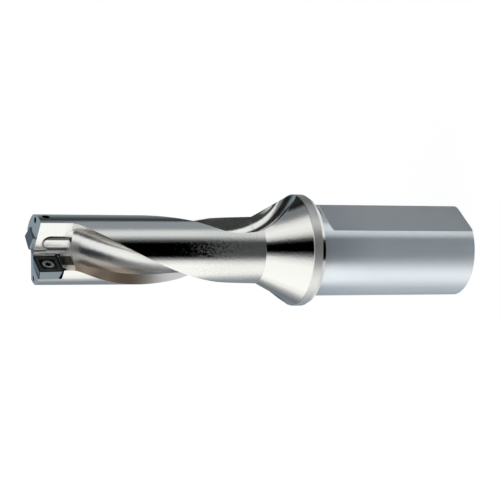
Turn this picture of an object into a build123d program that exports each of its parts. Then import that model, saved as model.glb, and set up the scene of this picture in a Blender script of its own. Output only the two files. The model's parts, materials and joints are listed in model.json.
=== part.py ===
from build123d import *
from math import cos, radians, sin, sqrt, tan
import os

# Indexable drill: a flatted shank, a flange, a cone and a body with two helical flutes, and two
# square inserts held by countersunk screws.
# The drill stands on its shank end. The origin is the centre of that end face, +Z runs along the
# axis to the cutting tip, and the outer insert is on the +X side with its rake face towards +Y.
# Lengths are in millimetres, angles in degrees.

# Shank
shank_diameter = 32.0
shank_length = 60.0
shank_chamfer = 0.5
flat_to_back = 30.0
flat_setback = 5.0
flat_ramp_angle = 40.5

# Flange and cone
flange_diameter = 39.0
flange_thickness = 4.8
flange_bevel_length = 1.5
flange_bevel_depth = 0.9
flange_front_bevel = 0.25
cone_length = 14.4

# Fluted body
body_diameter = 23.5
body_length = 80.3
cutting_diameter = 24.5

# Flutes, measured in a frame that turns with the leading edge
core_radius = 3.3
lead_face_width = 3.45
lead_face_rise = 0.8
flute_width_front = 84.0
flute_width_rear = 69.1
flute_lead_front = 139.2
flute_lead_rear = 272.0
flute_entry = 4.0
twist_delay = 1.8
twist_setback = 12.0
heel_strip_front = 1.3
heel_strip_rear = 0.4
gutter_setback = 9.5
helix_stations = 16
station_crowding = 1.4

# Lead-in at a flute's front end, where it starts flush with the notch
lead_in_length = 7.5
lead_in_core_shift = 0.1
lead_in_face_width = 6.3
lead_in_face_rise = 0.03
lead_in_heel_strip = 4.5

# Run-out at a flute's rear end, where it rises out of the steel and its leading face fades out
fade_length = 16.0
faded_ridge_out = 0.6
faded_ridge_drop = 1.9
runout_radius = 41.0
runout_reach = 35.0
runout_direction = 91.0
runout_stations = 9
runout_last_angle = 74.0

# Straight notches at the tip
notch_length = 13.3
wall_end_lead = 0.8
wall_end_width = 3.0
outer_notch_wall = 1.2
outer_notch_fillet = 1.2
centre_notch_wall = 0.8
centre_notch_fillet = 0.5
centre_notch_straight = 8.6
finger_width = 5.7
finger_height = 3.5
finger_depth = 0.5
finger_corner_radius = 1.9
finger_setback = 3.0

# End faces
outer_land_slope = 10.5
centre_land_setback = 0.75
centre_land_slope = 2.3
side_bevel_slope = 6.5
side_bevel_offset = 3.0

# Inserts
insert_side = 8.6
insert_thickness = 3.9
insert_relief = 13.0
nose_radius = 0.8
nose_radius_base = 0.25
edge_land = 0.18
groove_depth = 0.26
groove_slope_width = 0.45
plateau_side = 5.0
plateau_drop = 0.04
outer_insert_turn = 2.0
centre_insert_turn = 4.0
outer_insert_lead = 0.15
centre_insert_lead = 0.56
centre_overlap = 0.1
pocket_clearance = 0.05
corner_relief_radius = 0.8
upright_wall_width = 1.8

# Insert screws
screw_thread_diameter = 3.0
screw_head_diameter = 4.2
screw_head_angle = 60.0
screw_head_rim = 0.25
screw_head_drop = 0.3
screw_length = 6.4
screw_tip_chamfer = 0.3
insert_hole_clearance = 0.2
thread_clearance = 0.03
lobe_circle_radius = 0.85
lobe_radius = 0.32
lobe_core_radius = 0.9
lobe_count = 6
recess_depth = 1.1

# Coolant holes
inlet_diameter = 10.0
inlet_depth = 42.0
drill_point_angle = 118.0
core_channel_diameter = 3.0
branch_diameter = 2.1
branch_setback = 41.2
branch_exit_radius = 10.2
branch_exit_angle = 115.5
outlet_diameter = 2.6
outlet_setback = 4.0
outlet_angle = 104.0
blind_hole_floor = 0.4

# The seam of the turned faces lies beside the clamping flat, away from the flutes' edges
seam_angle = 22.5
full_turn = 360.0

# Places along the axis
shank_radius = shank_diameter / 2
flange_radius = flange_diameter / 2
body_radius = body_diameter / 2
flange_front = shank_length + flange_thickness
cone_front = flange_front + cone_length
end_face = cone_front + body_length
gutter_front = end_face - gutter_setback
notch_rear = end_face - notch_length
wall_end = notch_rear + wall_end_lead
runout_start = flange_front + runout_reach
twist_start = gutter_front - twist_delay
twist_end = flange_front + twist_setback
flat_height = flat_to_back - shank_radius
flat_end = shank_length - flat_setback
beyond = 3.0
reach = flange_radius + beyond


def flute_turn(z):
    """Angle of the leading edge about the axis: straight at the pockets, then a right-hand twist
    whose lead grows from its front value to its rear value."""
    back = twist_start - min(max(z, twist_end), twist_start)
    if back < flute_entry:
        twisted = back**2 / (2 * flute_entry)
    else:
        twisted = back - flute_entry / 2
    twist_length = twist_start - twist_end - flute_entry / 2
    rate_front = full_turn / flute_lead_front
    rate_rear = full_turn / flute_lead_rear
    turned = rate_front * twisted + (rate_rear - rate_front) * twisted**2 / (2 * twist_length)
    return (flute_width_front - flute_width(z)) / 2 - turned


def rearward_share(z):
    """How far z lies from the gutter's front, 0, to the start of the run-out, 1."""
    return (gutter_front - max(z, runout_start)) / (gutter_front - runout_start)


def flute_width(z):
    return flute_width_front + (flute_width_rear - flute_width_front) * rearward_share(z)


def heel_strip(z):
    return heel_strip_rear + (heel_strip_front - heel_strip_rear) * (1 - rearward_share(z)) ** 3


def flute_lift(z):
    """How far the flute has risen out of the steel on its run-out arc."""
    back = max(runout_start - z, 0.0)
    return runout_radius - sqrt(runout_radius**2 - back**2)


def faded_share(z):
    """How far the leading face has faded out at z: 0 along the body, 1 in the run-out."""
    share = min(max((runout_start - z) / fade_length + 0.5, 0.0), 1.0)
    return share**2 * (3 - 2 * share)


def lead_in_share(z):
    """1 at the flute's front end, where it starts flush with the notch, and 0 at its full section."""
    return max(1 - (gutter_front - z) / lead_in_length, 0.0)


def gutter_outline(z):
    """Closed outline of the flute at z: leading face, round gutter, heel strip, then the open side.
    The leading face is faded out in the run-out, where the round gutter itself meets the skin."""
    turn = radians(flute_turn(z))
    lift = flute_lift(z)
    shift = Vector(lift * cos(radians(runout_direction)), lift * sin(radians(runout_direction)))
    early = lead_in_share(z)
    faded = faded_share(z)
    face_width = lead_face_width + (lead_in_face_width - lead_face_width) * early
    face_rise = lead_in_face_rise + (lead_face_rise - lead_in_face_rise) * (1 - early) ** 2
    strip = heel_strip(z) + (lead_in_heel_strip - heel_strip_front) * early**2
    ridge_depth = face_width * (1 - faded) - faded_ridge_out * faded
    ridge_rise = face_rise * (1 - faded) - faded_ridge_drop * faded
    width = radians(flute_width(z))
    ridge = Vector(body_radius - ridge_depth, ridge_rise) + shift
    lead_slope = lead_face_rise / lead_face_width * (1 - early) ** 2
    lead_out = ridge + Vector(reach, -lead_slope * reach)
    core_shift = Vector(lead_in_core_shift * early, 0)
    core = Vector(core_radius * cos(width / 2), core_radius * sin(width / 2)) + shift + core_shift
    heel = Vector(body_radius * cos(width), body_radius * sin(width)) + shift
    strip_foot = heel - Vector(0, strip)
    heel_out = Vector(heel.X, strip_foot.Y + reach)
    far_corner = Vector(lead_out.X, heel_out.Y)
    plane = Plane(origin=(0, 0, z), x_dir=(cos(turn), sin(turn), 0), z_dir=(0, 0, 1))
    with BuildSketch(plane) as outline:
        with BuildLine():
            Line(lead_out, ridge)
            ThreePointArc(ridge, core, strip_foot)
            Polyline(strip_foot, heel_out, far_corner, lead_out)
        make_face()
    return outline.sketch


# One flute as a solid to take away: sections along the helix, closer together at its front, then up
# the run-out arc
helix_length = gutter_front - runout_start
helix_shares = [(station / helix_stations) ** station_crowding for station in range(helix_stations)]
helix_heights = [gutter_front - helix_length * share for share in helix_shares]
climb_step = radians(runout_last_angle) / (runout_stations - 1)
runout_heights = [
    runout_start - runout_radius * sin(climb_step * station) for station in range(runout_stations)
]
with BuildPart() as gutter:
    loft([gutter_outline(z) for z in helix_heights + runout_heights])


# The seat planes lie in the rake faces: X runs outwards, Y rearwards and Z out of the rake face
nose_reach = insert_side / 2 - nose_radius


def rounded_reach(turn):
    """Distance from the insert's centre to its furthest rounded corner, along an axis of the drill."""
    return nose_reach * (cos(radians(turn)) + sin(radians(turn))) + nose_radius


def insert_seat(side, centre_distance, centre_height, turn):
    """Plane of a rake face. side is 1 for the outer insert on +X and -1 for the centre insert."""
    return Plane(
        origin=(side * centre_distance, 0, centre_height),
        x_dir=(side * cos(radians(turn)), 0, -sin(radians(turn))),
        z_dir=(0, side, 0),
    )


outer_seat = insert_seat(
    1,
    cutting_diameter / 2 - rounded_reach(outer_insert_turn),
    end_face + outer_insert_lead - rounded_reach(outer_insert_turn),
    outer_insert_turn,
)
centre_seat = insert_seat(
    -1,
    insert_side / 2 * (cos(radians(centre_insert_turn)) - sin(radians(centre_insert_turn)))
    - centre_overlap,
    end_face + centre_insert_lead - rounded_reach(centre_insert_turn),
    centre_insert_turn,
)


def axial_section(seat):
    """Plane through the screw's axis: X is the distance from the axis, Y the height over the rake face."""
    return Plane(origin=seat.origin, x_dir=seat.x_dir, z_dir=seat.x_dir.cross(seat.z_dir))


def screw_axis(seat):
    return Axis(seat.origin, seat.z_dir)


# The countersink and the screw head share one cone
thread_radius = screw_thread_diameter / 2
head_radius = screw_head_diameter / 2
head_slope = tan(radians(screw_head_angle / 2))
head_rim_height = -screw_head_drop - screw_head_rim
insert_hole_radius = thread_radius + insert_hole_clearance
neck_height = head_rim_height - (head_radius - thread_radius) / head_slope
insert_neck_height = head_rim_height - (head_radius - insert_hole_radius) / head_slope


def rounded_square(seat, height, side, nose):
    """Square with rounded corners at a height over the rake face."""
    with BuildSketch(seat.offset(height)) as square:
        RectangleRounded(side, side, nose)
    return square.sketch


relief_run = insert_thickness * tan(radians(insert_relief))


def make_insert(seat):
    """Square insert with relief on all flanks, a chip groove round its rake face and a countersunk hole."""
    groove_side = insert_side - 2 * edge_land
    floor_side = groove_side - 2 * groove_slope_width
    plateau_base = plateau_side + 2 * groove_slope_width
    with BuildPart() as insert:
        rake_edge = rounded_square(seat, 0, insert_side, nose_radius)
        base = rounded_square(seat, -insert_thickness, insert_side - 2 * relief_run, nose_radius_base)
        loft([rake_edge, base], ruled=True)
        groove_edge = rounded_square(seat, 0, groove_side, nose_radius - edge_land)
        groove_floor = rounded_square(seat, -groove_depth, floor_side, nose_radius_base)
        loft([groove_edge, groove_floor], ruled=True, mode=Mode.SUBTRACT)
        plateau = rounded_square(seat, -plateau_drop, plateau_side, nose_radius)
        plateau_foot = rounded_square(seat, -groove_depth, plateau_base, nose_radius + groove_slope_width)
        loft([plateau, plateau_foot], ruled=True)
        with BuildSketch(axial_section(seat)):
            with BuildLine():
                Polyline(
                    (0, beyond),
                    (head_radius, beyond),
                    (head_radius, head_rim_height),
                    (insert_hole_radius, insert_neck_height),
                    (insert_hole_radius, -insert_thickness - beyond),
                    (0, -insert_thickness - beyond),
                    close=True,
                )
            make_face()
        revolve(axis=screw_axis(seat), mode=Mode.SUBTRACT)
    return insert.part


def make_screw(seat):
    """Countersunk screw with a six-lobe recess, its thread at the nominal size."""
    tip_height = -screw_length
    with BuildPart() as screw:
        with BuildSketch(axial_section(seat)):
            with BuildLine():
                Polyline(
                    (0, -screw_head_drop),
                    (head_radius, -screw_head_drop),
                    (head_radius, head_rim_height),
                    (thread_radius, neck_height),
                    (thread_radius, tip_height + screw_tip_chamfer),
                    (thread_radius - screw_tip_chamfer, tip_height),
                    (0, tip_height),
                    close=True,
                )
            make_face()
        revolve(axis=screw_axis(seat))
        with BuildSketch(seat.offset(-screw_head_drop)):
            Circle(lobe_core_radius)
            with PolarLocations(lobe_circle_radius, lobe_count):
                Circle(lobe_radius)
        extrude(amount=-recess_depth, mode=Mode.SUBTRACT)
    return screw.part


def cut_pocket(seat, open_side):
    """Pocket for an insert: open to the front and to one side, with walls that follow the flanks.
    open_side is 1 where the side away from the axis is open and -1 where the side at the axis is.
    The outer end of the rear wall stands upright, which leaves a gap behind the sloping flank."""
    half = insert_side / 2 + pocket_clearance
    side_reach = beyond if open_side > 0 else 0
    levels = []
    for height, wall in ((0, half), (-insert_thickness, half - relief_run)):
        with BuildSketch(seat.offset(height)) as level:
            with BuildLine():
                Polyline(
                    (-open_side * wall, wall),
                    (open_side * (wall + side_reach), wall),
                    (open_side * (wall + side_reach), -insert_side),
                    (-open_side * wall, -insert_side),
                    close=True,
                )
            make_face()
        levels.append(level.sketch)
    loft(levels, ruled=True, mode=Mode.SUBTRACT)
    foot = half - relief_run
    with BuildSketch(seat) as corner_relief:
        with Locations((-open_side * foot, foot)):
            Circle(corner_relief_radius)
    extrude(corner_relief.sketch, amount=-insert_thickness, mode=Mode.SUBTRACT)
    if open_side > 0:
        with BuildSketch(seat) as upright_wall:
            with Locations((half - upright_wall_width, half)):
                Rectangle(upright_wall_width + beyond, half, align=(Align.MIN, Align.MAX))
        extrude(upright_wall.sketch, amount=-insert_thickness, mode=Mode.SUBTRACT)


def cut_screw_hole(seat):
    """Blind tapped hole below a pocket, at the thread's nominal size."""
    with BuildSketch(seat) as hole:
        Circle(thread_radius + thread_clearance)
    extrude(hole.sketch, amount=-screw_length - blind_hole_floor, mode=Mode.SUBTRACT)


# Straight notch in front of the outer insert. Its inner corner keeps a fillet, and its rear end slants
# back from the wall to the floor, where the flute takes over
with BuildPart() as outer_notch:
    with BuildSketch(Plane.XZ):
        with BuildLine():
            Polyline(
                (outer_notch_wall, end_face + beyond),
                (outer_notch_wall, wall_end),
                (outer_notch_wall + wall_end_width, notch_rear),
                (reach, notch_rear),
                (reach, end_face + beyond),
                close=True,
            )
        make_face()
    extrude(amount=-reach)
    corner_edge = outer_notch.edges().filter_by(Axis.Z).group_by(Axis.X)[0].sort_by(Axis.Y)[0]
    fillet(corner_edge, radius=outer_notch_fillet)

# Notch of the centre insert: it passes the axis, then slants out to meet its flute
with BuildPart() as centre_notch:
    with BuildSketch(Plane.XZ):
        with BuildLine():
            Polyline(
                (-reach, wall_end),
                (-outer_notch_wall, wall_end),
                (centre_notch_wall, end_face - centre_notch_straight),
                (centre_notch_wall, end_face + beyond),
                (-reach, end_face + beyond),
                close=True,
            )
        make_face()
    extrude(amount=reach)
    floor_edges = centre_notch.edges().group_by(Axis.Y)[-1]
    wall_edge = floor_edges.filter_by(Axis.Z).sort_by(Axis.X)[-1]
    fillet(wall_edge, radius=centre_notch_fillet)

# Round-nosed groove in the notch wall across from the outer insert. Its cutter has rounded corners
# and is wider than the groove by what the corners take off at the wall
corner_rise = finger_corner_radius - finger_depth
corner_run = finger_corner_radius - sqrt(finger_corner_radius**2 - corner_rise**2)
finger_radius = finger_width / 2 + corner_run
finger_end = end_face - finger_setback - finger_width / 2
with BuildPart() as finger_groove:
    with BuildSketch(Plane.YZ.offset(outer_notch_wall - finger_depth)):
        with Locations((finger_height, finger_end)):
            Circle(finger_radius)
        with Locations((finger_height, finger_end)):
            Rectangle(2 * finger_radius, finger_end - wall_end, align=(Align.CENTER, Align.MAX))
    extrude(amount=finger_corner_radius + beyond)
    groove_floor = finger_groove.faces().sort_by(Axis.X)[0]
    rear_edge = groove_floor.edges().sort_by(Axis.Z)[0]
    fillet(groove_floor.edges().filter_by(lambda edge: edge != rear_edge), radius=finger_corner_radius)

seam_x = cos(radians(seam_angle))
seam_y = sin(radians(seam_angle))
turning_plane = Plane(origin=(0, 0, 0), x_dir=(seam_x, seam_y, 0), z_dir=(seam_y, -seam_x, 0))

with BuildPart() as drill_body:
    # Turned form: chamfered shank, flange with a long rear bevel, cone and body
    with BuildSketch(turning_plane):
        with BuildLine():
            Polyline(
                (0, 0),
                (shank_radius - shank_chamfer, 0),
                (shank_radius, shank_chamfer),
                (shank_radius, shank_length),
                (flange_radius - flange_bevel_depth, shank_length),
                (flange_radius, shank_length + flange_bevel_length),
                (flange_radius, flange_front - flange_front_bevel),
                (flange_radius - flange_front_bevel, flange_front),
                (body_radius, cone_front),
                (body_radius, end_face),
                (0, end_face),
                close=True,
            )
        make_face()
    revolve(axis=Axis.Z)

    # Clamping flat along the shank, with a ramp at its front end
    ramp_top = shank_radius + shank_chamfer
    ramp_end = flat_end + (ramp_top - flat_height) / tan(radians(flat_ramp_angle))
    with BuildSketch(Plane.YZ.offset(-reach)):
        with BuildLine():
            Polyline(
                (flat_height, 0),
                (flat_height, flat_end),
                (ramp_top, ramp_end),
                (reach, ramp_end),
                (reach, 0),
                close=True,
            )
        make_face()
    extrude(amount=2 * reach, mode=Mode.SUBTRACT)

    # Helical flutes
    with PolarLocations(0, 2):
        add(gutter.part, mode=Mode.SUBTRACT)

    # End faces: each land slopes back from its insert's edge, and the centre land lies lower
    centre_land = end_face - centre_land_setback
    with BuildSketch(Plane.YZ.offset(-reach)):
        with BuildLine():
            Polyline(
                (0, end_face),
                (0, centre_land),
                (reach, centre_land - reach * tan(radians(centre_land_slope))),
                (reach, end_face + beyond),
                (-reach, end_face + beyond),
                (-reach, end_face - reach * tan(radians(outer_land_slope))),
                close=True,
            )
        make_face()
    extrude(amount=2 * reach, mode=Mode.SUBTRACT)
    with BuildSketch(Plane.XZ):
        with BuildLine():
            Polyline(
                (-side_bevel_offset, centre_land),
                (-reach, centre_land - (reach - side_bevel_offset) * tan(radians(side_bevel_slope))),
                (-reach, centre_land),
                close=True,
            )
        make_face()
    extrude(amount=-reach, mode=Mode.SUBTRACT)

    # Notches at the tip
    add(outer_notch.part, mode=Mode.SUBTRACT)
    add(centre_notch.part, mode=Mode.SUBTRACT)
    add(finger_groove.part, mode=Mode.SUBTRACT)

    # Insert pockets and blind tapped holes
    cut_pocket(outer_seat, 1)
    cut_pocket(centre_seat, -1)
    cut_screw_hole(outer_seat)
    cut_screw_hole(centre_seat)

    # Coolant inlet in the shank end, then the channel up the core
    channel_end = end_face - branch_setback
    with BuildSketch(Plane.XY):
        Circle(inlet_diameter / 2)
    extrude(amount=inlet_depth, mode=Mode.SUBTRACT)
    point_length = inlet_diameter / 2 / tan(radians(drill_point_angle / 2))
    with BuildSketch(Plane.XZ):
        with BuildLine():
            Polyline(
                (0, inlet_depth),
                (inlet_diameter / 2, inlet_depth),
                (0, inlet_depth + point_length),
                close=True,
            )
        make_face()
    revolve(axis=Axis.Z, mode=Mode.SUBTRACT)
    with BuildSketch(Plane.XY.offset(inlet_depth)):
        Circle(core_channel_diameter / 2)
    extrude(amount=channel_end - inlet_depth, mode=Mode.SUBTRACT)

    # Two branches from the core to the end faces
    for turn in (branch_exit_angle, branch_exit_angle + 180):
        outward = Vector(cos(radians(turn)), sin(radians(turn)), 0)
        branch_foot = Vector(0, 0, channel_end)
        branch_exit = outward * branch_exit_radius + Vector(0, 0, end_face)
        branch = branch_exit - branch_foot
        with BuildSketch(Plane(origin=branch_foot, z_dir=branch)):
            Circle(branch_diameter / 2)
        extrude(amount=branch.length + beyond, mode=Mode.SUBTRACT)

    # Side outlet from the branch in the centre insert's land
    outlet_height = end_face - outlet_setback
    outlet_dir = Vector(cos(radians(outlet_angle)), sin(radians(outlet_angle)), 0)
    outlet_foot = outlet_dir * (branch_exit_radius - branch_diameter) + Vector(0, 0, outlet_height)
    with BuildSketch(Plane(origin=outlet_foot, z_dir=outlet_dir)):
        Circle(outlet_diameter / 2)
    extrude(amount=body_radius, mode=Mode.SUBTRACT)

drill_body.part.label = "drill_body"
outer_insert = make_insert(outer_seat)
outer_insert.label = "outer_insert"
centre_insert = make_insert(centre_seat)
centre_insert.label = "centre_insert"
outer_insert_screw = make_screw(outer_seat)
outer_insert_screw.label = "outer_insert_screw"
centre_insert_screw = make_screw(centre_seat)
centre_insert_screw.label = "centre_insert_screw"

os.makedirs("parts", exist_ok=True)
export_step(drill_body.part, "parts/drill_body.step")
for piece in (outer_insert, centre_insert, outer_insert_screw, centre_insert_screw):
    export_step(piece, f"parts/{piece.label}.step")
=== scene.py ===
# %% [markdown] # An indexable drill in a light tent  The drill is a steel body with a ground shank, a
# flange, a cone and two helical flutes. Two square carbide inserts sit in pockets at its tip, each
# held by a small countersunk screw. All the shapes come from the CAD model, so this script gives
# every surface its finish, sets up the studio round the drill and places the camera. The steel is
# bright and mirrors the studio, so most of its look comes from what stands around it.

import json
from math import atan, cos, degrees, radians, sin

import bmesh
import bpy
from mathutils import Matrix, Vector

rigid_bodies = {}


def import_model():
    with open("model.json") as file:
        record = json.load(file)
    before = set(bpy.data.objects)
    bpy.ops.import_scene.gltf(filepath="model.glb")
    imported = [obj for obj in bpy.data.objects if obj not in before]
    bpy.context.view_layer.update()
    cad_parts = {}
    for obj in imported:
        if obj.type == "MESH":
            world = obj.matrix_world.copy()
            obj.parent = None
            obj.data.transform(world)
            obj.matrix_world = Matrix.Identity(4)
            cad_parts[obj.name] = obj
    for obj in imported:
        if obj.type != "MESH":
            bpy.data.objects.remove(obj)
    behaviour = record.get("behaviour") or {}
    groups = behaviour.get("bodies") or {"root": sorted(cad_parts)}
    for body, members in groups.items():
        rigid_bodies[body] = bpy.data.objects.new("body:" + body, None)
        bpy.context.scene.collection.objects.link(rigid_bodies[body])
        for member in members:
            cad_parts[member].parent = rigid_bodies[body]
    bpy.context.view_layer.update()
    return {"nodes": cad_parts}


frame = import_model()
nodes = frame["nodes"]
mm_per_metre = 1000.0

# %% [markdown]
# ## Camera
#
# The drill stands on its shank end in the model, and a photographer shows it lying down. The camera
# therefore looks at the standing drill from the side of the tip and is rolled by a quarter turn: the
# axis runs across the picture, with the tip at the left. It stands far away with a long lens, so the
# shank and the tip appear at nearly the same scale.

# %% Camera
camera_side = radians(36)  # direction of the camera round the drill's axis, from +X
camera_rise = radians(23)  # how far it looks along the axis, from the side
camera_distance = 0.686
camera_aim = Vector((0, 0, 0.0804))
camera_roll = radians(0.09)
quarter_turn = radians(90)
lens_mm = 142.3
sensor_mm = 36.0
nearest_drawn = 0.02
furthest_drawn = 20


def direction(side, rise):
    """Unit vector at an angle round the drill's axis and an angle above the floor."""
    return Vector((cos(side) * cos(rise), sin(side) * cos(rise), sin(rise)))


back = direction(camera_side, camera_rise)
up = direction(camera_side + quarter_turn, 0)
right = up.cross(back)
camera_data = bpy.data.cameras.new("product_camera")
camera_data.lens = lens_mm
camera_data.sensor_width = sensor_mm
camera_data.clip_start = nearest_drawn
camera_data.clip_end = furthest_drawn
camera = bpy.data.objects.new("product_camera", camera_data)
turned = Matrix((right, up, back)).transposed().to_4x4() @ Matrix.Rotation(camera_roll, 4, "Z")
camera.matrix_world = Matrix.Translation(camera_aim + back * camera_distance) @ turned
bpy.context.scene.collection.objects.link(camera)
bpy.context.scene.camera = camera
print("field of view in degrees:", round(degrees(2 * atan(sensor_mm / 2 / lens_mm)), 2))

# %% [markdown]
# ## Shader maths
#
# Node trees are quick to read when they are written as sums. The class below wraps one output of a
# node, and each operator on it adds the Math node that does the same. The forms with an r in front
# are the reflected ones, which make `1 - mask` work as well as `mask - 1`. A comparison gives a mask:
# 1 where it holds and 0 elsewhere, and masks are joined by multiplying them.

# %% Values


class Value:
    """One number or vector in a node tree. Operators on it add Math nodes."""

    def __init__(self, tree, socket):
        self.tree = tree
        self.socket = socket

    def maths(self, operation, *others):
        return self.tree.node("ShaderNodeMath", {"operation": operation}, [self, *others])

    def __add__(self, other):
        return self.maths("ADD", other)

    def __radd__(self, other):
        return self.maths("ADD", other)

    def __sub__(self, other):
        return self.maths("SUBTRACT", other)

    def __rsub__(self, other):
        return self.tree.node("ShaderNodeMath", {"operation": "SUBTRACT"}, [other, self])

    def __mul__(self, other):
        return self.maths("MULTIPLY", other)

    def __rmul__(self, other):
        return self.maths("MULTIPLY", other)

    def __truediv__(self, other):
        return self.maths("DIVIDE", other)

    def __pow__(self, other):
        return self.maths("POWER", other)

    def __abs__(self):
        return self.maths("ABSOLUTE")

    def __gt__(self, other):
        return self.maths("GREATER_THAN", other)

    def __lt__(self, other):
        return self.maths("LESS_THAN", other)

    def between(self, low, high):
        """Mask of the values between two limits."""
        return (self > low) * (self < high)


print("operators on a value:", "+ - * / ** abs > <")

# %% [markdown]
# ## Node trees
#
# A material and the world each have a node tree. One method adds any kind of node: it sets what the
# node is, then fills its sockets with numbers or links. The shorter methods under it are the nodes
# that this drill needs again and again: a soft step, a blend of two colours and a noise.

# %% Node trees
mix_share, mix_first, mix_second, mix_result = 0, 6, 7, 2  # colour sockets of a Mix node


class Tree:
    """Node tree of a material or of the world, with one method that adds a node."""

    def __init__(self, owner):
        owner.use_nodes = True
        self.nodes = owner.node_tree.nodes
        self.links = owner.node_tree.links
        self.nodes.clear()

    def node(self, kind, settings=None, inputs=(), output=0):
        """Adds a node: its settings first, then values or links for its sockets by place or name."""
        made = self.nodes.new(kind)
        for name, value in (settings or {}).items():
            if name == "stops":
                self.set_stops(made.color_ramp, value)
            else:
                setattr(made, name, value)
        pairs = inputs.items() if isinstance(inputs, dict) else enumerate(inputs)
        for key, value in pairs:
            if isinstance(value, Value):
                self.links.new(value.socket, made.inputs[key])
            else:
                made.inputs[key].default_value = value
        return Value(self, made.outputs[output]) if len(made.outputs) else None

    def set_stops(self, ramp, stops):
        """Stops of a ramp, each a place from 0 to 1 and a colour."""
        while len(ramp.elements) < len(stops):
            ramp.elements.new(1.0)
        for element, (place, colour) in zip(ramp.elements, stops):
            element.position = place
            element.color = (*colour, 1)

    def split(self, vector):
        """The three components of a vector."""
        return [self.node("ShaderNodeSeparateXYZ", None, [vector], axis) for axis in range(3)]

    def step(self, value, start, end):
        """Soft step: 0 up to the start and 1 from the end on. The end may be the lower one."""
        return self.node(
            "ShaderNodeMapRange",
            {"interpolation_type": "SMOOTHSTEP"},
            {"Value": value, "From Min": start, "From Max": end, "To Min": 0.0, "To Max": 1.0},
        )

    def tint(self, share, first, second):
        """First colour where share is 0 and second where it is 1."""
        inputs = {mix_share: share, mix_first: first, mix_second: second}
        return self.node("ShaderNodeMix", {"data_type": "RGBA"}, inputs, mix_result)

    def noise(self, place, scale, detail, roughness):
        """Grey noise around 0.5 at a place, with scale in periods per unit."""
        inputs = {"Vector": place, "Scale": scale, "Detail": detail, "Roughness": roughness}
        return self.node("ShaderNodeTexNoise", None, inputs)


print("a tree can make:", [name for name in vars(Tree) if not name.startswith("_")])

# %% [markdown]
# ## Stage
#
# The drill stands on a wide pale floor. The camera sees the floor as nearly pure white, because the
# floor also glows for camera rays. A small share of it is plain white paper, so the drill's soft
# shadow stays on it. The steel mirrors the tent's own table instead of this floor.

# %% Floor
floor_half = 6.0
paper_share = 0.08
paper_white = (0.9, 0.9, 0.9, 1)
pure_white = (1, 1, 1, 1)
floor_glow = 1.045  # a little over white, to make up for the paper's share

floor_mesh = bpy.data.meshes.new("studio_floor")
sheet_mesh = bmesh.new()
bmesh.ops.create_grid(sheet_mesh, x_segments=1, y_segments=1, size=floor_half)
sheet_mesh.to_mesh(floor_mesh)
sheet_mesh.free()
floor = bpy.data.objects.new("studio_floor", floor_mesh)
bpy.context.scene.collection.objects.link(floor)
floor.visible_glossy = False

paper = bpy.data.materials.new("white_paper")
tree = Tree(paper)
camera_rays = tree.node("ShaderNodeLightPath", output="Is Camera Ray")
paper_surface = tree.node("ShaderNodeBsdfDiffuse", None, {"Color": paper_white})
glow = tree.node("ShaderNodeEmission", None, {"Color": pure_white, "Strength": floor_glow})
glow_share = camera_rays * (1 - paper_share)
sheet = tree.node("ShaderNodeMixShader", None, [glow_share, paper_surface, glow])
tree.node("ShaderNodeOutputMaterial", None, {"Surface": sheet})
floor_mesh.materials.append(paper)
print("floor is", 2 * floor_half, "m wide")

# %% [markdown]
# ## Light tent
#
# Polished steel shows its surroundings like a mirror. A round bar turns each direction round itself
# into one lengthwise band, so a tent whose cloth is bright on one side, grey on the other and open
# where the lens looks in draws a black band between bright ones. The world does this without any
# panels to build: its brightness depends on the direction round the drill's axis, measured from the
# camera's side.
#
# The tent is a stack of rings of cloth. Each ring is a list of stops round the drill, with the side
# in degrees and the cloth's colour there, and neighbouring rings run softly into one another. The two
# lowest are the brown table and the skirt above it, which only the hollow flutes mirror.

# %% Table and skirt
table_ring = [
    (-180, (0.95, 0.96, 0.97)),
    (-100, (0.85, 0.86, 0.87)),
    (-80, (0.62, 0.62, 0.62)),
    (-55, (0.30, 0.29, 0.28)),
    (-30, (0.20, 0.19, 0.17)),
    (-10, (0.20, 0.18, 0.16)),
    (15, (0.24, 0.21, 0.18)),
    (45, (0.38, 0.34, 0.30)),
    (62, (0.38, 0.34, 0.30)),
    (78, (0.12, 0.095, 0.07)),
    (88, (0.30, 0.26, 0.22)),
    (97, (1.10, 1.10, 1.08)),
    (180, (0.95, 0.96, 0.97)),
]
skirt_ring = [
    (-180, (0.90, 0.91, 0.92)),
    (-80, (0.86, 0.87, 0.88)),
    (-60, (0.62, 0.63, 0.64)),
    (-40, (0.40, 0.42, 0.43)),
    (-15, (0.31, 0.31, 0.30)),
    (20, (0.28, 0.255, 0.22)),
    (45, (0.17, 0.14, 0.115)),
    (95, (0.16, 0.13, 0.105)),
    (112, (0.36, 0.33, 0.30)),
    (180, (0.90, 0.91, 0.92)),
]
print("stops of the table and the skirt:", len(table_ring), len(skirt_ring))

# %% [markdown]
# ## Heel ring
#
# The shank mirrors the heel of the tent, just under the level that the body mirrors, because the
# camera sees the two at slightly different angles. Its cloth is brighter than white below the opening
# and has a second lit stretch above it.

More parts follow.
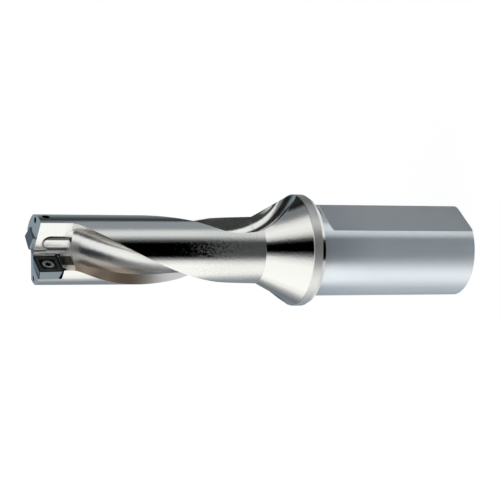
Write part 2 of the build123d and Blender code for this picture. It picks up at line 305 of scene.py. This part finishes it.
# %% Heel ring
heel_ring = [
    (-180, (0.27, 0.33, 0.38)),
    (-140, (0.30, 0.33, 0.36)),
    (-115, (0.42, 0.44, 0.46)),
    (-98, (0.84, 0.84, 0.84)),
    (-79, (1.34, 1.34, 1.31)),
    (-67, (1.44, 1.44, 1.40)),
    (-56, (1.32, 1.32, 1.29)),
    (-42, (0.84, 0.84, 0.83)),
    (-30, (0.38, 0.38, 0.38)),
    (-20, (0.13, 0.14, 0.16)),
    (-12, (0.0, 0.015, 0.035)),
    (27, (0.0, 0.015, 0.035)),
    (31, (0.10, 0.11, 0.13)),
    (36, (0.56, 0.57, 0.57)),
    (43, (0.98, 1.00, 1.00)),
    (54, (1.25, 1.27, 1.27)),
    (66, (1.15, 1.17, 1.17)),
    (76, (0.50, 0.52, 0.53)),
    (98, (0.34, 0.36, 0.37)),
    (108, (0.10, 0.10, 0.10)),
    (142, (0.14, 0.17, 0.19)),
    (180, (0.27, 0.33, 0.38)),
]
print("stops of the heel:", len(heel_ring))

# %% [markdown]
# ## Middle ring
#
# The polished body mirrors the middle ring, a little below the level of the drill. The opening for
# the lens, from -20 to 24 degrees, is the black band along the body. The lit cloth below it gives the
# broad white band, and the cloth above it the grey and bluish ones.

# %% Middle ring
middle_ring = [
    (-180, (0.27, 0.33, 0.38)),
    (-140, (0.25, 0.29, 0.32)),
    (-114, (0.33, 0.36, 0.40)),
    (-101, (0.70, 0.73, 0.72)),
    (-90, (1.20, 1.20, 1.16)),
    (-75, (1.38, 1.38, 1.33)),
    (-50, (1.38, 1.38, 1.33)),
    (-36, (0.95, 0.95, 0.92)),
    (-28, (0.30, 0.31, 0.31)),
    (-20, (0.0, 0.0, 0.0)),
    (24, (0.0, 0.0, 0.0)),
    (33, (0.12, 0.13, 0.13)),
    (42, (0.50, 0.52, 0.52)),
    (50, (0.86, 0.90, 0.87)),
    (57, (0.94, 0.98, 0.95)),
    (65, (0.87, 0.92, 0.90)),
    (74, (0.42, 0.46, 0.48)),
    (80, (0.37, 0.40, 0.43)),
    (103, (0.36, 0.39, 0.42)),
    (111, (0.07, 0.08, 0.085)),
    (122, (0.055, 0.068, 0.072)),
    (135, (0.15, 0.175, 0.19)),
    (150, (0.25, 0.30, 0.34)),
    (180, (0.27, 0.33, 0.38)),
]
print("stops of the middle:", len(middle_ring))

# %% [markdown]
# ## Waist and upper ring
#
# The faces that point more towards the tip mirror what is higher up. The end faces and the run-outs
# of the flutes see the waist, and the cone sees the upper ring, where the opening is wide and the
# cloth above it ends in a black gap.

# %% Waist and upper ring
waist_ring = [
    (-180, (0.26, 0.32, 0.37)),
    (-150, (0.26, 0.31, 0.35)),
    (-132, (0.22, 0.25, 0.28)),
    (-120, (0.46, 0.46, 0.46)),
    (-106, (1.12, 1.12, 1.09)),
    (-90, (1.32, 1.32, 1.29)),
    (-40, (1.25, 1.26, 1.25)),
    (-22, (0.75, 0.78, 0.79)),
    (-8, (0.20, 0.22, 0.22)),
    (5, (0.06, 0.065, 0.065)),
    (62, (0.04, 0.045, 0.045)),
    (66, (0.18, 0.19, 0.19)),
    (72, (1.28, 1.28, 1.25)),
    (98, (1.28, 1.28, 1.25)),
    (103, (0.25, 0.26, 0.27)),
    (108, (0.03, 0.03, 0.03)),
    (138, (0.03, 0.03, 0.03)),
    (156, (0.27, 0.33, 0.38)),
    (180, (0.26, 0.32, 0.37)),
]
upper_ring = [
    (-180, (0.26, 0.32, 0.37)),
    (-150, (0.24, 0.29, 0.33)),
    (-130, (0.13, 0.15, 0.17)),
    (-118, (0.24, 0.26, 0.27)),
    (-106, (1.15, 1.16, 1.12)),
    (-90, (1.42, 1.42, 1.38)),
    (-38, (1.36, 1.36, 1.31)),
    (-24, (1.02, 1.03, 1.00)),
    (-12, (0.20, 0.21, 0.21)),
    (-4, (0.0, 0.0, 0.0)),
    (18, (0.0, 0.0, 0.0)),
    (25, (0.10, 0.10, 0.10)),
    (34, (0.75, 0.76, 0.74)),
    (42, (1.12, 1.12, 1.08)),
    (56, (1.24, 1.24, 1.20)),
    (70, (1.0, 1.0, 0.98)),
    (80, (0.38, 0.40, 0.41)),
    (88, (0.25, 0.27, 0.28)),
    (98, (0.24, 0.26, 0.27)),
    (105, (0.03, 0.03, 0.03)),
    (112, (0.0, 0.0, 0.0)),
    (138, (0.0, 0.0, 0.0)),
    (158, (0.27, 0.33, 0.38)),
    (180, (0.26, 0.32, 0.37)),
]
print("stops of the waist and the upper ring:", len(waist_ring), len(upper_ring))

# %% [markdown]
# ## Stack of rings
#
# Each ring takes over from the one under it between two elevations in degrees. A ramp in Blender
# holds colours up to 1, and some cloth is lit brighter than that, so the ramps hold each colour as a
# share of the brightest one, and the world's strength brings it back.

# %% Stack of rings
stacked_rings = [
    (skirt_ring, (-50, -42)),
    (heel_ring, (-38, -29)),
    (middle_ring, (-26.0, -24.4)),
    (waist_ring, (-17.5, -11)),
    (upper_ring, (4, 12)),
]
top_cloth = (0.55, 0.72, 0.95)
top_blend = (70, 86)
lens_well = (-82, -77)  # below these elevations the tent is open and dark
open_dark = (0, 0, 0, 1)

all_rings = [table_ring] + [stops for stops, blend in stacked_rings]
tent_peak = max(max(colour) for stops in all_rings for side, colour in stops)
print("brightest cloth:", tent_peak)

# %% [markdown]
# ## Directions in the tent
#
# The world is seen by direction. Turned to the camera's side, a direction gives the side angle round
# the drill and the rise above the level. Real cloth isn't hung in straight rows, so its lit part
# reaches further round where the tip mirrors it, and is narrower where the stretch before the cone
# does. Both are small shifts of the side angle, which is simpler than two more rings.

# %% Directions in the tent
drawn_shift = 16.0  # degrees by which the lit cloth reaches further round
drawn_rise = (-24.5, -19.0)
drawn_top = (-11.0, -16.0)
drawn_side = (-60, -85)
narrow_rise = (-20.5, -23.5)
narrow_end = (-25.4, -24.6)
narrow_top, narrow_top_shift = (-12, -20), 4.5
narrow_foot, narrow_foot_shift = (-75, -95), 10.0

world = bpy.data.worlds.new("light_tent")
bpy.context.scene.world = world
tree = Tree(world)
outward = tree.node("ShaderNodeTexCoord", output="Generated")
turned_outward = {"Vector": outward, "Angle": -camera_side}
seen_along = tree.node("ShaderNodeVectorRotate", {"rotation_type": "Z_AXIS"}, turned_outward)
along, across, above = tree.split(seen_along)
side_angle = across.maths("ARCTAN2", along) * degrees(1)
rise_angle = above.maths("ARCSINE") * degrees(1)

drawn = tree.step(rise_angle, *drawn_rise) * tree.step(rise_angle, *drawn_top)
drawn = drawn * tree.step(side_angle, *drawn_side)
narrow = tree.step(rise_angle, *narrow_rise) * tree.step(rise_angle, *narrow_end)
narrow_by = tree.step(side_angle, *narrow_top) * narrow_top_shift
narrow_by = narrow_by - tree.step(side_angle, *narrow_foot) * narrow_foot_shift
side_angle = side_angle + drawn * drawn_shift + narrow * narrow_by
print("lit cloth is moved by", drawn_shift, "and", narrow_foot_shift, "degrees at most")

# %% [markdown]
# ## World
#
# The rings are laid over one another from the table up. Rays from the camera itself see plain white
# instead of the tent, so the background stays clean while the steel mirrors the cloth.

# %% World
full_turn = 360


def as_share(colour):
    """A cloth's colour as a share of the brightest one."""
    return tuple(part / tent_peak for part in colour)


def ring(stops):
    """Colour of one ring of cloth round the drill."""
    ramp_stops = [((side + full_turn / 2) / full_turn, as_share(colour)) for side, colour in stops]
    turn = (side_angle + full_turn / 2) / full_turn
    return tree.node("ShaderNodeValToRGB", {"stops": ramp_stops}, [turn])


cloth = tree.tint(tree.step(rise_angle, *lens_well), open_dark, ring(table_ring))
for stops, blend in stacked_rings:
    cloth = tree.tint(tree.step(rise_angle, *blend), cloth, ring(stops))
cloth = tree.tint(tree.step(rise_angle, *top_blend), cloth, (*as_share(top_cloth), 1))
tent = tree.node("ShaderNodeBackground", None, {"Color": cloth, "Strength": tent_peak})
plain = tree.node("ShaderNodeBackground", None, {"Color": pure_white, "Strength": 1.0})
camera_rays = tree.node("ShaderNodeLightPath", output="Is Camera Ray")
seen = tree.node("ShaderNodeMixShader", None, [camera_rays, tent, plain])
tree.node("ShaderNodeOutputWorld", None, {"Surface": seen})
print("rings:", len(all_rings))

# %% [markdown]
# ## Where the surfaces lie
#
# One material covers the steel body, because it is one piece of steel. Its surfaces are told apart by
# masks made from the place on it, which needs no painting by hand and no second mesh: the ground
# shank, the flange's turned rim, the milled flutes, and the notches and pockets at the tip. What is
# left over is the polished outside of the body and the cone. A milled surface is any that lies below
# the turned shape, so the mask works out how wide the turned shape is at each height.

# %% Surface masks
shank_end = 60.0
flange_front = 64.8
cone_front = 79.2
notch_start = (145.5, 150.5)  # the milled finish changes between these heights
body_radius = 11.75
cone_radius = 19.25
rear_bevel = 1.4  # length of the flange's polished rear bevel
rim_margin = 0.02
skin = 0.05  # how far below the turned surface a milled one starts


class Spot:
    """Place on the drill in millimetres: its three components and its distance from the axis."""

    def __init__(self, tree):
        coordinates = tree.node("ShaderNodeTexCoord", output="Object")
        scaled = {0: coordinates, "Scale": mm_per_metre}
        self.place = tree.node("ShaderNodeVectorMath", {"operation": "SCALE"}, scaled)
        self.x, self.y, self.z = tree.split(self.place)
        self.radius = (self.x * self.x + self.y * self.y) ** 0.5


def surface_masks(tree, spot):
    """Masks of the shank, the rim, the flutes and the notches, by name."""
    heights = {"Value": spot.z, "From Min": flange_front, "From Max": cone_front}
    radii = {"To Min": cone_radius, "To Max": body_radius}
    turned_radius = tree.node("ShaderNodeMapRange", None, {**heights, **radii})
    milled = (spot.radius < turned_radius - skin) * (spot.z > flange_front)
    notches = milled * tree.step(spot.z, *notch_start)
    return {
        "shank": spot.z < shank_end,
        "rim": (spot.radius > cone_radius + rim_margin) * (spot.z > shank_end + rear_bevel),
        "flutes": milled - notches,
        "notches": notches,
    }


print("body, cone and skin in mm:", body_radius, cone_radius, skin)

# %% [markdown]
# ## Coolant bores
#
# Coolant comes in at the shank's end and leaves through two slanted branches at the tip and one hole
# in its side. Deep narrow bores look black, because hardly any light comes back out of them, and a few
# bounces of light in a render would leave them too bright, so they get painted shade. A mask takes the
# distance from each bore's own axis, so the painted shade ends at the bore's edge.

# %% Coolant bores
end_face = 159.5
inlet_radius = 5.0
branch_radius = 1.05
branch_angle = 115.5  # direction of the branches round the axis, in degrees
branch_exit_radius = 10.2  # how far from the axis they come out of the end face
branch_length = 41.2  # height from the foot of the branches to the end face
outlet_radius = 1.3
outlet_angle = 104.0
outlet_height = 155.5
bore_margin = 0.04


def turned_axes(spot, angle):
    """Distance along a direction round the axis, and distance across it."""
    along_direction = spot.x * cos(radians(angle)) + spot.y * sin(radians(angle))
    across_direction = spot.y * cos(radians(angle)) - spot.x * sin(radians(angle))
    return along_direction, across_direction


def inside(first, second, bore_radius):
    """Mask of a bore, from two distances to its axis that are square to one another."""
    return (first * first + second * second) ** 0.5 < bore_radius + bore_margin


def bore_mask(spot):
    """Mask of the coolant inlet, its two branches and the outlet in the side."""
    inlet = inside(spot.x, spot.y, inlet_radius) * (spot.z < shank_end)
    branch_out, branch_across = turned_axes(spot, branch_angle)
    branch_lean = branch_exit_radius / branch_length
    branch_centre = (spot.z - (end_face - branch_length)) * branch_lean
    branches = inside(abs(branch_out) - branch_centre, branch_across, branch_radius)
    outlet_out, outlet_across = turned_axes(spot, outlet_angle)
    outlet = inside(outlet_across, spot.z - outlet_height, outlet_radius)
    outlet = outlet * (outlet_out > branch_exit_radius - 2 * branch_radius)
    return inlet + branches * (spot.z > cone_front) + outlet


print("radii of inlet, branches and outlet in mm:", inlet_radius, branch_radius, outlet_radius)

# %% [markdown]
# ## Pocket backs
#
# Behind each insert the pocket ends in a low wall that hardly any light reaches. It gets the same
# painted shade as a bore, so it joins the same mask. The inserts lie on opposite sides of the axis,
# one in front of the plane through it and one behind, so both walls are where x and y have different
# signs.

# %% Pocket backs
pocket_depth = 4.4
pocket_rear = (149.8, 151.7)


def pocket_back_mask(spot):
    """Mask of the low wall behind each insert."""
    low_wall = (abs(spot.y) < pocket_depth) * spot.z.between(*pocket_rear)
    return low_wall * (spot.x * spot.y < 0) * (spot.radius < body_radius - skin)


print("pocket backs lie between heights", *pocket_rear)

# %% [markdown]
# ## Painted warm reflection in the flutes
#
# One side of each flute, the chip side, is painted brown: a painted reflection of warm surroundings.
# The heel, the opposite edge near the tip, gets the same painted reflection more faintly. The flutes
# twist, so no plane cuts their sides apart. The surface's own direction does: on the chip side it
# points round the axis one way, and on the heel the other way.

# %% Painted warm reflection in the flutes
chip_side = (0.6, 0.9)  # how much the surface faces round the axis
chip_radius = (5.6, 7.2)
chip_height = (112.0, 127.0)
heel_radius = (6.2, 7.4)
heel_height = (144.5, 141.0)
heel_reflection_share = 0.6


def warm_reflection_mask(tree, spot):
    """Mask of the painted warm reflection on the flutes' chip side, with a fainter one on their heel.
    """
    facing = tree.node("ShaderNodeNewGeometry", output="Normal")
    facing_x, facing_y = tree.split(facing)[:2]
    swing = (spot.x * facing_y - spot.y * facing_x) / spot.radius
    swing = tree.step(swing, *chip_side)
    chips = swing * tree.step(spot.radius, *chip_radius)
    heel = (1 - swing) * tree.step(spot.radius, *heel_radius)
    heel = heel * tree.step(spot.z, *heel_height) * heel_reflection_share
    return (chips + heel) * tree.step(spot.z, *chip_height)


# the painted warm reflection starts between these heights
print("stain starts between heights", *chip_height)

# %% [markdown]
# ## Stretches of one surface
#
# The finish changes along the drill as well. The flutes are ground duller at their front and finer
# where they run out into the cone. The flange keeps some light off the shank beside it. The polish
# also wears off before the cone, and not at a line: it starts in specks that grow together. A noise
# added to the height gives such an edge. The noise is grey around a half, so the half is taken off.

# %% Stretches of one surface
dull_start = (142.5, 145.5)
dull_end = (149.5, 148.0)
dull_side = 1.3  # the dull stretch keeps off the notch's wall near the axis
runout = (118.0, 95.0)
flange_shade = (57.0, 36.0)
polish_fades = (109.0, 91.0)
worn_speckle = 40.0  # reach in height over which the worn stretch starts in specks
mean_grey = 0.5


def add_stretches(tree, spot, masks, grain):
    """Adds the masks of the dull, fine, shaded and worn stretches."""
    dull = (masks["flutes"] + masks["notches"]) * tree.step(spot.z, *dull_start)
    masks["dull"] = dull * tree.step(spot.z, *dull_end) * (abs(spot.x) > dull_side)
    masks["fine"] = masks["flutes"] * tree.step(spot.z, *runout)
    masks["shaded"] = masks["shank"] * tree.step(spot.z, *flange_shade)
    worn = tree.step(spot.z + (grain - mean_grey) * worn_speckle, *polish_fades)
    masks["worn"] = worn * (spot.z > cone_front) * (1 - masks["flutes"])


print("polish fades between heights", *polish_fades)

# %% [markdown]
# ## Notch behind the outer insert
#
# The outer notch has a tall wall with a short round-ended groove in it, and a flat behind the insert.
# The groove's cove gets painted shade. The flat gets a pale painted light, with painted shade on the
# part in the insert's shade. These are small places with straight edges, so plain limits on x, y, z
# and the radius pick them out.

# %% Notch masks
wall_x = (0.3, 1.6)
wall_y = 0.3
wall_start = 146.3
cove_x = 1.19  # face of the wall, from which the groove is cut
cove_y = (4.15, 4.6)
cove_edge = 5.7
flat_z = (146.4, 150.8)
flat_shade = (3.6, 8.6)  # distances from the axis between which the insert shades the flat


def add_notch(tree, spot, masks):
    """Adds the masks of the notch's wall, its cove for painted shade, the flat and the flat's part
    with painted shade.
    """
    wall = spot.x.between(*wall_x) * (spot.y > wall_y) * (spot.z > wall_start)
    cove = wall * (spot.x < cove_x) * tree.step(spot.y, *cove_y) * (spot.y < cove_edge)
    masks["wall"] = wall
    masks["cove"] = cove
    masks["flat"] = (abs(spot.y) < skin) * spot.z.between(*flat_z)
    masks["flat_shade"] = spot.radius.between(*flat_shade)


print("flat lies between heights", *flat_z)

# %% [markdown]
# ## Colour of the steel
#
# Steel has no colour of its own under a polish: the base colour is the tint of its reflections. The
# ground shank is bluish, the polished body neutral, and the flutes a little darker. Each mask lays its
# own tint over what is there, in the order in which a later finish covers an earlier one. Some of the
# tints are painted light: a painted warm reflection in the flutes, a paler notch, a lit and a shaded
# flat, and painted shade in the cove, the bores and the pocket backs.

# %% Steel colours
polished = (0.68, 0.68, 0.67, 1)
ground = (0.71, 0.765, 0.82, 1)
fluted = (0.65, 0.65, 0.645, 1)
# painted reflection: brown tint for warm surroundings mirrored in the flutes
painted_warm_reflection = (0.40, 0.34, 0.285, 1)
# painted light: paler tint for the light that the notch walls catch
notch_painted_light = (0.80, 0.80, 0.79, 1)
# painted light and painted shade on the flat behind the outer insert
painted_lit_flat = (1.0, 0.92, 0.85, 1)
painted_shade_flat = (0.10, 0.085, 0.065, 1)
# painted shade in the groove's cove
painted_cove_shade = (0.10, 0.10, 0.10, 1)
# painted shade in the bores and behind the inserts
painted_bore_shade = (0.02, 0.02, 0.02, 1)


def steel_colour(tree, spot, masks):
    colour = tree.tint(masks["shank"], polished, ground)
    colour = tree.tint(masks["flutes"], colour, fluted)
    # painted warm reflection on the flutes' chip side and heel
    colour = tree.tint(masks["flutes"] * warm_reflection_mask(tree, spot), colour, painted_warm_reflection)
    # painted light on the notches
    colour = tree.tint(masks["notches"], colour, notch_painted_light)
    # painted light on the flat, with painted shade where the insert shades it
    flat_colour = tree.tint(masks["flat_shade"], painted_lit_flat, painted_shade_flat)
    colour = tree.tint(masks["flat"], colour, flat_colour)
    # painted shade in the cove
    colour = tree.tint(masks["cove"], colour, painted_cove_shade)
    # painted shade in the bores and on the pocket backs
    hollow = (pocket_back_mask(spot) + bore_mask(spot)) > 0
    return tree.tint(hollow, colour, painted_bore_shade)


print("tint of the polish:", polished[:3])

# %% [markdown]
# ## Scatter of the steel
#
# Polished steel has a low roughness and is all metal. Ground and milled steel scatters the light in
# scratches too fine to see: it gets a higher roughness, and a metallic value below one, which lets a
# little plain light lift its dark bands. Each surface has its own share of both, and a noise varies
# them from place to place, in a fine grain and in soft clouds as left by handling.

# %% Steel scatter
plain_light = {
    "shank": 0.40,
    "shaded": 0.14,
    "rim": 0.22,
    "flutes": 0.05,
    "notches": 0.08,
    "dull": 0.32,
    "worn": 0.15,
}
worn_sparkle = 0.2
polish_roughness = 0.06
added_roughness = {
    "shank": 0.05,
    "rim": 0.25,
    "flutes": 0.16,
    "fine": -0.11,
    "notches": 0.16,
    "dull": 0.14,
    "worn": 0.08,
}
grain_roughness = 0.04
cloud_roughness = 0.03


def weighed(masks, weights):
    """Sum of masks, each times its own weight."""
    return sum(masks[name] * weight for name, weight in weights.items())


def steel_metallic(masks, grain):
    sparkle = (grain - mean_grey) * worn_sparkle * masks["worn"]
    return 1 - weighed(masks, plain_light) + sparkle


def steel_roughness(masks, grain, clouds):
    uneven = (grain - mean_grey) * grain_roughness + (clouds - mean_grey) * cloud_roughness
    return polish_roughness + weighed(masks, added_roughness) + uneven


print("surfaces with their own scatter:", len(added_roughness))

# %% [markdown]
# ## Grain and lean of the surface
#
# A fine grain in the bump breaks up the edges of the mirrored bands, more so where the polish is
# worn. Two surfaces are also ground slightly hollow, so they mirror another part of the tent than a
# plain one would: the outer notch's wall, and the last cut into the cone, which leans much less. A
# vector added to the surface's direction does the same, without the jumps that a bump makes at the
# edge of a mask.

# %% Grain and lean
grain_height = 0.02
worn_height = 0.02
bump_unit = 0.001  # heights in the bump are in millimetres
hollow_slope = 0.21  # lean of the notch's wall, as the tangent of its angle
runout_lean = 0.05  # lean of the last cut, towards the shank


def steel_normal(tree, spot, masks, grain):
    height = grain * (grain_height + masks["worn"] * worn_height)
    bump_inputs = {"Strength": 1.0, "Distance": bump_unit, "Height": height}
    bump = tree.node("ShaderNodeBump", None, bump_inputs)
    cone_lean = masks["flutes"] * (spot.z < cone_front) * -runout_lean
    lean_inputs = {"X": 0.0, "Y": masks["wall"] * hollow_slope, "Z": cone_lean}
    lean = tree.node("ShaderNodeCombineXYZ", None, lean_inputs)
    leaning = tree.node("ShaderNodeVectorMath", {"operation": "ADD"}, [bump, lean])
    return tree.node("ShaderNodeVectorMath", {"operation": "NORMALIZE"}, [leaning])


lean_angles = [round(degrees(atan(slope)), 1) for slope in (hollow_slope, runout_lean)]
print("lean of the wall and of the last cut in degrees:", lean_angles)

# %% [markdown]
# ## Steel body
#
# The colour, the scatter and the direction of the surface meet in one Principled shader. The real
# body is bare or thinly plated steel with no coat on it, so nothing else is needed.

# %% Steel body
grain_scale, grain_detail, grain_harshness = 1.3, 3.0, 0.6  # scale in periods per millimetre
cloud_scale, cloud_detail, cloud_harshness = 0.25, 2.0, 0.5


def steel_body():
    steel = bpy.data.materials.new("body_steel")
    tree = Tree(steel)
    spot = Spot(tree)
    grain = tree.noise(spot.place, grain_scale, grain_detail, grain_harshness)
    clouds = tree.noise(spot.place, cloud_scale, cloud_detail, cloud_harshness)
    masks = surface_masks(tree, spot)
    add_stretches(tree, spot, masks, grain)
    add_notch(tree, spot, masks)
    surface_inputs = {
        "Base Color": steel_colour(tree, spot, masks),
        "Metallic": steel_metallic(masks, grain),
        "Roughness": steel_roughness(masks, grain, clouds),
        "Normal": steel_normal(tree, spot, masks, grain),
    }
    surface = tree.node("ShaderNodeBsdfPrincipled", None, surface_inputs)
    tree.node("ShaderNodeOutputMaterial", None, {"Surface": surface})
    print("nodes in the steel:", len(tree.nodes))
    return steel


nodes["drill_body"].data.materials[0] = steel_body()

# %% [markdown]
# ## Even reflections
#
# The CAD mesh comes as separate patches, and a mirror finish shows the seam between two patches of one
# round surface as a step in the reflection. Three modifiers mend that without a change to the mesh:
# Weld joins the patches, Edge Split parts them again where the real edges are, and Weighted Normal
# works out the shading from what is left, evenly on both sides of a seam.

# %% Seams
weld_reach = 2e-6
sharp_edge = radians(14)


def even_seams(piece):
    weld = piece.modifiers.new("weld", "WELD")
    weld.merge_threshold = weld_reach
    split = piece.modifiers.new("real_edges", "EDGE_SPLIT")
    split.split_angle = sharp_edge
    split.use_edge_sharp = False
    shading = piece.modifiers.new("even_shading", "WEIGHTED_NORMAL")
    shading.mode = "CORNER_ANGLE"
    shading.keep_sharp = True


even_seams(nodes["drill_body"])
print("modifiers on the body:", [modifier.name for modifier in nodes["drill_body"].modifiers])

# %% [markdown]
# ## Inserts
#
# A carbide insert is pressed and sintered, coated black, and ground on its flanks. The rake face with
# its chip groove lies within a third of a millimetre of the plane through the drill's axis, so the
# distance from that plane splits the black coat from the bluish ground flanks. The chip groove gets a
# slightly paler tint, a painted highlight along it. A fine speckle in the roughness is the grain of
# the sintered carbide.

# %% Coated carbide
coat_depth = 0.30  # how far the coat reaches from the plane through the axis
groove_floor = 0.19  # distance from the same plane at which the chip groove starts
black_coat = (0.004, 0.004, 0.005, 1)
# painted highlight in the chip groove
painted_groove_highlight = (0.045, 0.05, 0.053, 1)
ground_flank = (0.23, 0.27, 0.30, 1)
coat_dullness = 0.8  # how much less metallic the coat is than the flanks
flank_roughness = 0.30
coat_gloss = 0.12  # how much smoother the coat is
carbide_specular = 0.12
sinter_scale, sinter_detail, sinter_harshness = 3.0, 2.0, 0.6
sinter_roughness = 0.1


def coated_carbide():
    carbide = bpy.data.materials.new("coated_carbide")
    tree = Tree(carbide)
    spot = Spot(tree)
    coat = abs(spot.y) < coat_depth
    # painted highlight: the groove is a little paler than the black coat
    black = tree.tint(abs(spot.y) > groove_floor, black_coat, painted_groove_highlight)
    speckle = tree.noise(spot.place, sinter_scale, sinter_detail, sinter_harshness)
    uneven = (speckle - mean_grey) * sinter_roughness
    surface_inputs = {
        "Base Color": tree.tint(coat, ground_flank, black),
        "Metallic": 1 - coat_dullness * coat,
        "Roughness": flank_roughness - coat_gloss * coat + uneven,
        "Specular IOR Level": carbide_specular,
    }
    surface = tree.node("ShaderNodeBsdfPrincipled", None, surface_inputs)
    tree.node("ShaderNodeOutputMaterial", None, {"Surface": surface})
    print("nodes in the carbide:", len(tree.nodes))
    return carbide


carbide = coated_carbide()
for name in ("outer_insert", "centre_insert"):
    nodes[name].data.materials[0] = carbide

# %% [markdown]
# ## Insert screws
#
# The small screws are blackened steel with a satin head, a little uneven in tone. The six-lobe recess
# is deep and narrow, so it gets painted black shade, and all that lies deeper than the head's face
# belongs to it or is out of sight.

# %% Screw steel
head_drop = 0.33  # distance of the head's face from the plane through the axis
satin_dark = (0.50, 0.52, 0.54, 1)
satin_pale = (0.60, 0.62, 0.64, 1)
# painted shade in the six-lobe recess
painted_recess_shade = (0.01, 0.01, 0.01, 1)
screw_metallic = 0.8
screw_roughness = 0.30
speckle_scale, speckle_detail, speckle_harshness = 4.0, 2.0, 0.6
speckle_roughness = 0.1


def screw_steel():
    dark = bpy.data.materials.new("screw_steel")
    tree = Tree(dark)
    spot = Spot(tree)
    speckle = tree.noise(spot.place, speckle_scale, speckle_detail, speckle_harshness)
    steel = tree.tint(speckle, satin_dark, satin_pale)
    surface_inputs = {
        # painted shade below the head's face
        "Base Color": tree.tint(abs(spot.y) > head_drop, steel, painted_recess_shade),
        "Metallic": screw_metallic,
        "Roughness": screw_roughness + speckle * speckle_roughness,
    }
    surface = tree.node("ShaderNodeBsdfPrincipled", None, surface_inputs)
    tree.node("ShaderNodeOutputMaterial", None, {"Surface": surface})
    print("nodes in the screw steel:", len(tree.nodes))
    return dark


screw_finish = screw_steel()
for name in ("outer_insert_screw", "centre_insert_screw"):
    nodes[name].data.materials[0] = screw_finish

# %% [markdown]
# ## Colours
#
# The Standard view shows a colour about as it is written.

# %% Finish
bpy.context.scene.view_settings.view_transform = "Standard"
